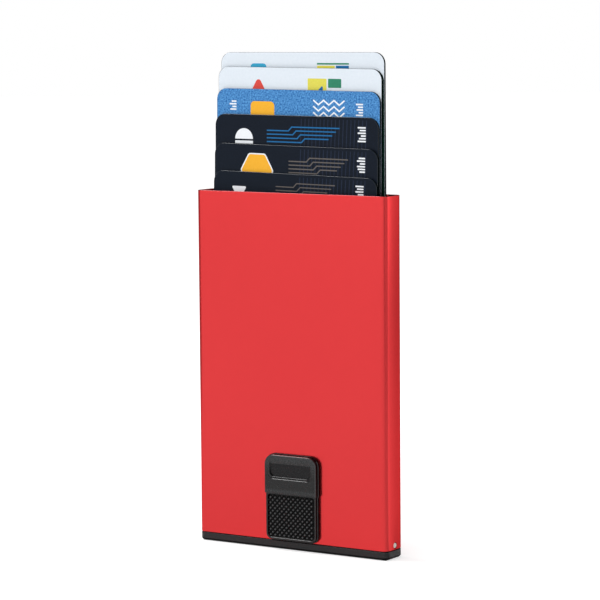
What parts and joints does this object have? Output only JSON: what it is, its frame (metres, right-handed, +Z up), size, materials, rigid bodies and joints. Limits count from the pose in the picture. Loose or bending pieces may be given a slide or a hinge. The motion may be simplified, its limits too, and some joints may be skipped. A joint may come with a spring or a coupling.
{
  "type": "pop up card holder",
  "caption": "Slim metal sleeve on a moulded cap; a thumb slider swings a stepped lever that fans the cards out of the mouth.",
  "frame": {"origin": "middle of the cap's flat underside, on which the case stands", "axes": "+Z up out of the mouth, +Y from the front with the slider to the back, +X to the right seen from the front"},
  "size_m": [0.063, 0.0109, 0.1401],
  "materials": {
    "red_anodised_aluminium": "satin red anodising over bead blasted metal",
    "black_abs": "fine moulded grain, matt",
    "black_rubber": "matt, knurled in diamonds",
    "bright_steel": "ground bright",
    "spring_steel": "drawn, lightly oiled",
    "zinc_plated_sheet": "zinc plated",
    "grey_acetal": "moulded, slightly waxy",
    "grey_felt": "short pressed fibre",
    "white_card_pvc": "satin laminate",
    "blue_card_pvc": "satin laminate with fine fleck",
    "dark_card_pvc": "satin laminate"
  },
  "bodies": {
    "case": {"outer_sleeve": "red_anodised_aluminium", "bottom_cap": "black_abs", "lock_pin_left": "bright_steel", "lock_pin_right": "bright_steel", "guide_rail_left": "grey_acetal", "guide_rail_right": "grey_acetal", "leaf_spring": "spring_steel", "friction_strip_left": "grey_felt", "friction_strip_right": "grey_felt", "pivot_pin": "bright_steel", "return_spring": "spring_steel"},
    "slider": {"slider_button": "black_abs", "grip_pad": "black_rubber", "slider_carrier": "zinc_plated_sheet", "carrier_rivet_lower": "bright_steel", "carrier_rivet_upper": "bright_steel", "drive_pin": "bright_steel"},
    "lever": {"lift_lever": "grey_acetal"},
    "card_1": {"card_1": "white_card_pvc"},
    "card_2": {"card_2": "white_card_pvc"},
    "card_3": {"card_3": "blue_card_pvc"},
    "card_4": {"card_4": "dark_card_pvc"},
    "card_5": {"card_5": "dark_card_pvc"},
    "card_6": {"card_6": "dark_card_pvc"}
  },
  "joints": [
    {"name": "slider_push", "type": "slide", "parent": "case", "child": "slider", "axis": [0, 0, 1], "range_m": [0, 0.016], "stiffness_N_per_m": 150, "springref_m": -0.008, "deforming": ["return_spring"]},
    {"name": "lever_swing", "type": "hinge", "parent": "case", "child": "lever", "pos_m": [-0.0254, 0, 0.0088], "axis": [0, -1, 0], "range_deg": [0, 55]},
    {"name": "card_1_slide", "type": "slide", "parent": "case", "child": "card_1", "axis": [0, 0, 1], "range_m": [-0.0405, 0.0216]},
    {"name": "card_2_slide", "type": "slide", "parent": "case", "child": "card_2", "axis": [0, 0, 1], "range_m": [-0.03621, 0.02589]},
    {"name": "card_3_slide", "type": "slide", "parent": "case", "child": "card_3", "axis": [0, 0, 1], "range_m": [-0.03009, 0.03201]},
    {"name": "card_4_slide", "type": "slide", "parent": "case", "child": "card_4", "axis": [0, 0, 1], "range_m": [-0.02291, 0.03919]},
    {"name": "card_5_slide", "type": "slide", "parent": "case", "child": "card_5", "axis": [0, 0, 1], "range_m": [-0.01449, 0.04761]},
    {"name": "card_6_slide", "type": "slide", "parent": "case", "child": "card_6", "axis": [0, 0, 1], "range_m": [-0.00669, 0.05541]}
  ],
  "couplings": [
    {"joint": "lever_swing", "follows": "slider_push", "rad_per_m": 59.995}
  ]
}
